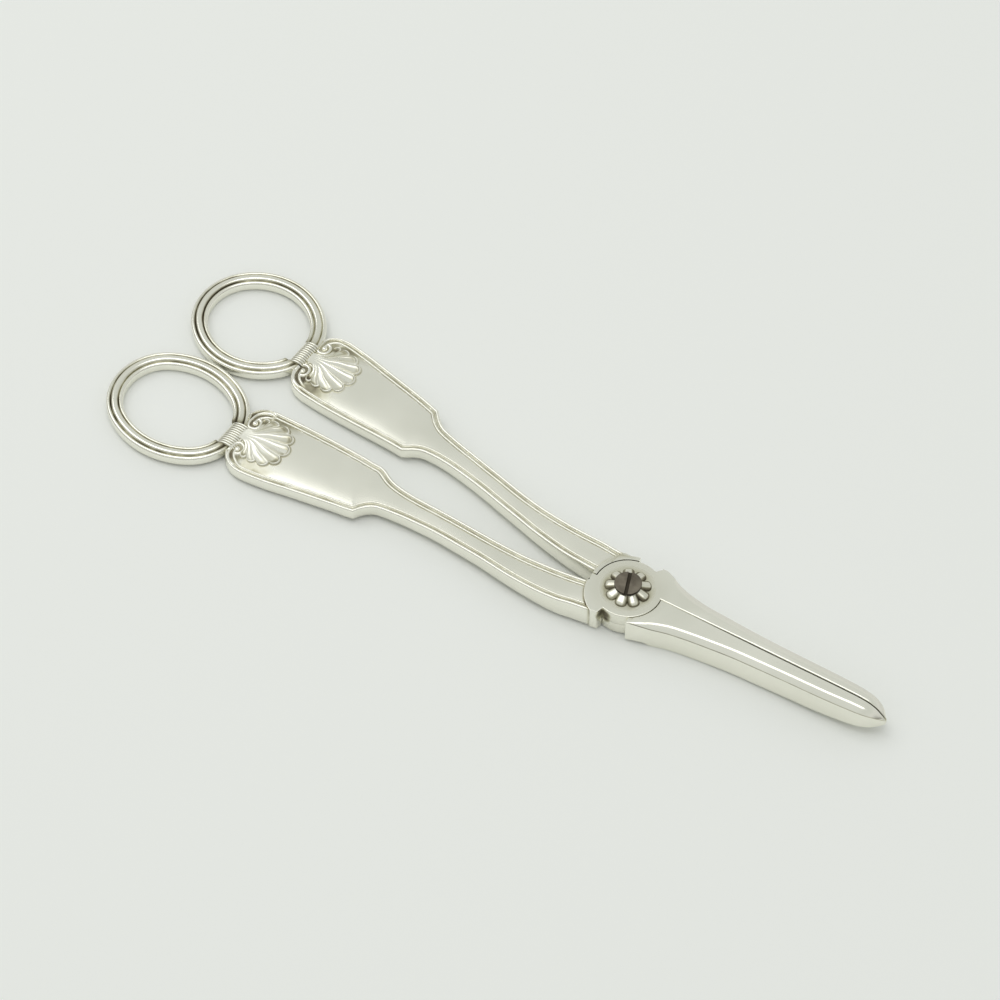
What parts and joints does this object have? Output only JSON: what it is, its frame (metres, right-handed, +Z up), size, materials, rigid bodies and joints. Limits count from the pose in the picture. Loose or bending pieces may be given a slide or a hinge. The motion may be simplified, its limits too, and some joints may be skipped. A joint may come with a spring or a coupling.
{
  "type": "grape shears",
  "caption": "Grape shears with fiddle, thread and shell handles, reeded oval finger bows with bound roots, and a pivot screw on a rosette.",
  "frame": {"origin": "on the pivot axis, at the underside of the lower lap and the screw's end", "axes": "+X along the bisector of the closed handles towards the nose of the jaws, +Z up along the pivot axis towards the screw's head, +Y towards the rear handle"},
  "size_m": [0.1751, 0.0532, 0.0083],
  "materials": {
    "handle_silver": "polished silver, tarnished brown in the grooves beside the threads",
    "bow_silver": "polished silver, tarnished dark between the reeds",
    "binding_silver": "worn silver, tarnished between the ribs",
    "shell_silver": "cast silver, bright on the lobes and tarnished in the flutes",
    "jaw_silver": "polished silver with fine hairline scratches",
    "rosette_silver": "worn silver, bright on the petals and dark between them",
    "screw_steel": "darkened turned steel"
  },
  "bodies": {
    "rear": {"rear_handle": "handle_silver", "rear_bow": "bow_silver", "rear_binding": "binding_silver", "rear_upper_shell": "shell_silver", "rear_lower_shell": "shell_silver", "rear_jaw": "jaw_silver", "pivot_rosette": "rosette_silver", "pivot_screw": "screw_steel"},
    "front": {"front_handle": "handle_silver", "front_bow": "bow_silver", "front_binding": "binding_silver", "front_upper_shell": "shell_silver", "front_lower_shell": "shell_silver", "front_jaw": "jaw_silver"}
  },
  "joints": [
    {"name": "pivot", "type": "hinge", "parent": "rear", "child": "front", "pos_m": [0, 0, 0], "axis": [0, 0, 1], "range_deg": [0, 34]}
  ]
}
